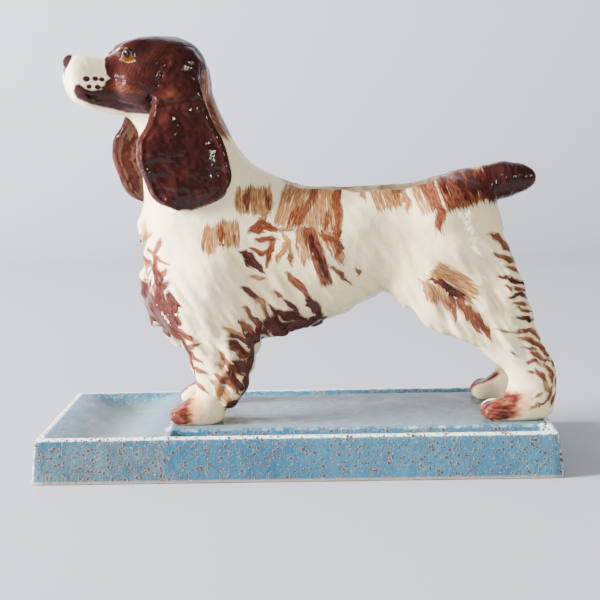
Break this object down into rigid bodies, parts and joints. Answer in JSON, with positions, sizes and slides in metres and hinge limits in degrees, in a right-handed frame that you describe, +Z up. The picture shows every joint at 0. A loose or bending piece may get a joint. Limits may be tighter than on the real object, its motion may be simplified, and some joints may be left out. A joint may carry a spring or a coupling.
{
  "type": "ceramic dog figurine",
  "caption": "Glazed ceramic spaniel with an open pocket in its back, standing on a speckled tray with a coin dish in front of its paws.",
  "frame": {"origin": "centre of the tray's underside, on the surface it stands on", "axes": "+X along the tray towards the dog's tail, +Y towards the dog's right side, +Z up"},
  "size_m": [0.254, 0.115, 0.2115],
  "materials": {
    "blue_speckled_glaze": "satin pale blue glaze with brown speckles, breaking to off-white on the edges",
    "cream_painted_glaze": "clear gloss glaze over off-white, with hand-painted chestnut brush strokes",
    "chestnut_painted_glaze": "clear gloss glaze over dark chestnut underglaze, with an off-white muzzle"
  },
  "bodies": {
    "root": {"base_tray": "blue_speckled_glaze", "torso_shell": "cream_painted_glaze", "head": "chestnut_painted_glaze", "left_ear": "chestnut_painted_glaze", "right_ear": "chestnut_painted_glaze", "tail": "chestnut_painted_glaze", "front_left_leg": "cream_painted_glaze", "front_right_leg": "cream_painted_glaze", "hind_left_leg": "cream_painted_glaze", "hind_right_leg": "cream_painted_glaze"}
  },
  "joints": []
}
